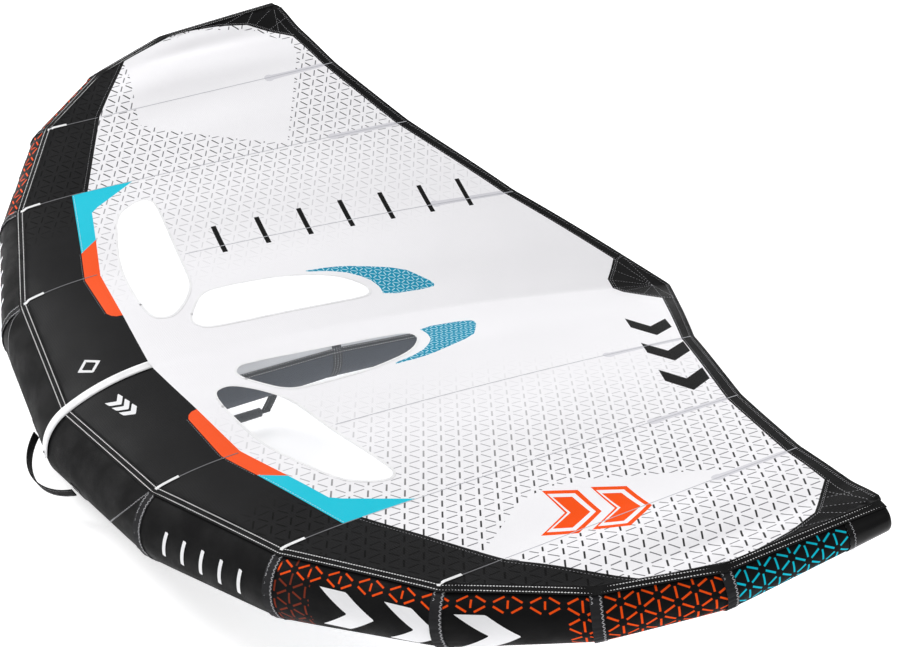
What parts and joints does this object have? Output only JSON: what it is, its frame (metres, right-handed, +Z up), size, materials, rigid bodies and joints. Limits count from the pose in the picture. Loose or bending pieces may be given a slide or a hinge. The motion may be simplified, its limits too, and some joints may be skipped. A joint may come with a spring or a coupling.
{
  "type": "inflatable hand wing",
  "caption": "Inflatable hand-held wing with a faceted leading edge tube, one centre strut, a cambered canopy with clear windows, webbing handles and an inflation valve.",
  "frame": {"origin": "on the floor under the middle of the wing's bounding box, with the wing standing canopy up on the belly of its leading edge tube and the tail of its strut", "axes": "+X out along the span to the wing's left tip, -Y forwards through the leading edge, +Y back to the trailing edge, +Z up"},
  "size_m": [2.9976, 1.9411, 0.4873],
  "materials": {
    "tube_dacron": "fine ribbed polyester weave",
    "cap_cloth": "coated cloth, glossy",
    "bladder_film": "clear polyurethane film",
    "grey_tape": "sewn seam tape",
    "black_tape": "sewn seam tape",
    "white_webbing": "woven strip",
    "black_ripstop": "ripstop cloth",
    "orange_ripstop": "ripstop cloth",
    "cyan_ripstop": "ripstop cloth",
    "teal_ripstop": "ripstop cloth",
    "white_ripstop": "ripstop cloth with a printed dash pattern",
    "window_film": "clear film",
    "batten_strip": "satin",
    "white_dacron": "woven polyester",
    "grey_dacron": "woven polyester",
    "grip_foam": "matt foam",
    "black_webbing": "woven webbing",
    "valve_plastic": "moulded",
    "valve_rubber": "soft",
    "hose_film": "silicone hose"
  },
  "bodies": {
    "wing": {"leading_edge_panel_1_left": "tube_dacron", "leading_edge_panel_1_right": "tube_dacron", "leading_edge_panel_2_left": "tube_dacron", "leading_edge_panel_2_right": "tube_dacron", "leading_edge_panel_3_left": "tube_dacron", "leading_edge_panel_3_right": "tube_dacron", "leading_edge_panel_4_left": "tube_dacron", "leading_edge_panel_4_right": "tube_dacron", "leading_edge_panel_5_left": "tube_dacron", "leading_edge_panel_5_right": "tube_dacron", "leading_edge_panel_6_left": "tube_dacron", "leading_edge_panel_6_right": "tube_dacron", "leading_edge_gussets": "tube_dacron", "tip_cap_left": "cap_cloth", "tip_cap_right": "cap_cloth", "leading_edge_bladder": "bladder_film", "segment_seam_tapes": "grey_tape", "canopy_seam_tape": "black_tape", "centre_strip": "white_webbing", "front_band_left": "black_ripstop", "front_band_right": "black_ripstop", "orange_accents": "orange_ripstop", "cyan_accents": "cyan_ripstop", "centre_gore_left": "white_ripstop", "centre_gore_right": "white_ripstop", "middle_gore_left": "white_ripstop", "middle_gore_right": "white_ripstop", "outer_gore_left": "white_ripstop", "outer_gore_right": "white_ripstop", "tip_gore_left": "white_ripstop", "tip_gore_right": "white_ripstop", "front_window_left": "window_film", "front_window_right": "window_film", "rear_window_left": "window_film", "rear_window_right": "window_film", "window_accents": "teal_ripstop", "trailing_band_left": "black_ripstop", "trailing_band_right": "black_ripstop", "trailing_centre_patch": "black_ripstop", "tip_patch_left": "black_ripstop", "tip_patch_right": "black_ripstop", "battens": "batten_strip", "strut_top_panel": "white_dacron", "strut_lower_casing": "grey_dacron", "strut_bladder": "bladder_film", "strut_tail_cap": "cap_cloth", "handle_anchor_patches": "black_webbing", "nose_handle_patches": "black_webbing", "valve_body": "valve_plastic", "air_hose": "hose_film", "hose_fittings": "valve_plastic"},
    "front_handle": {"front_handle_strap": "black_webbing", "front_handle_grip": "grip_foam"},
    "rear_handle": {"rear_handle_strap": "black_webbing", "rear_handle_grip": "grip_foam"},
    "nose_handle": {"nose_handle_strap": "black_webbing"},
    "valve_cap": {"valve_cap": "valve_plastic"},
    "valve_check_disc": {"valve_check_disc": "valve_rubber"}
  },
  "joints": [
    {"name": "front_handle_swing", "type": "hinge", "parent": "wing", "child": "front_handle", "pos_m": [0, -0.5647, 0.0907], "axis": [0, 0.9999, 0.0173], "range_deg": [-60, 60]},
    {"name": "rear_handle_swing", "type": "hinge", "parent": "wing", "child": "rear_handle", "pos_m": [0, 0.0165, 0.086], "axis": [0, 0.9979, -0.0646], "range_deg": [-60, 60]},
    {"name": "nose_handle_swing", "type": "hinge", "parent": "wing", "child": "nose_handle", "pos_m": [0, -0.9069, 0.0662], "axis": [-1, 0, 0], "range_deg": [0, 25]},
    {"name": "valve_cap_hinge", "type": "hinge", "parent": "wing", "child": "valve_cap", "pos_m": [-0.1609, -0.6888, 0.0508], "axis": [-1, 0, 0], "range_deg": [0, 150]},
    {"name": "valve_disc_slide", "type": "slide", "parent": "wing", "child": "valve_check_disc", "axis": [0, -0.9078, 0.4195], "range_m": [0, 0.004], "stiffness_N_per_m": 200, "springref_m": -0.002}
  ]
}
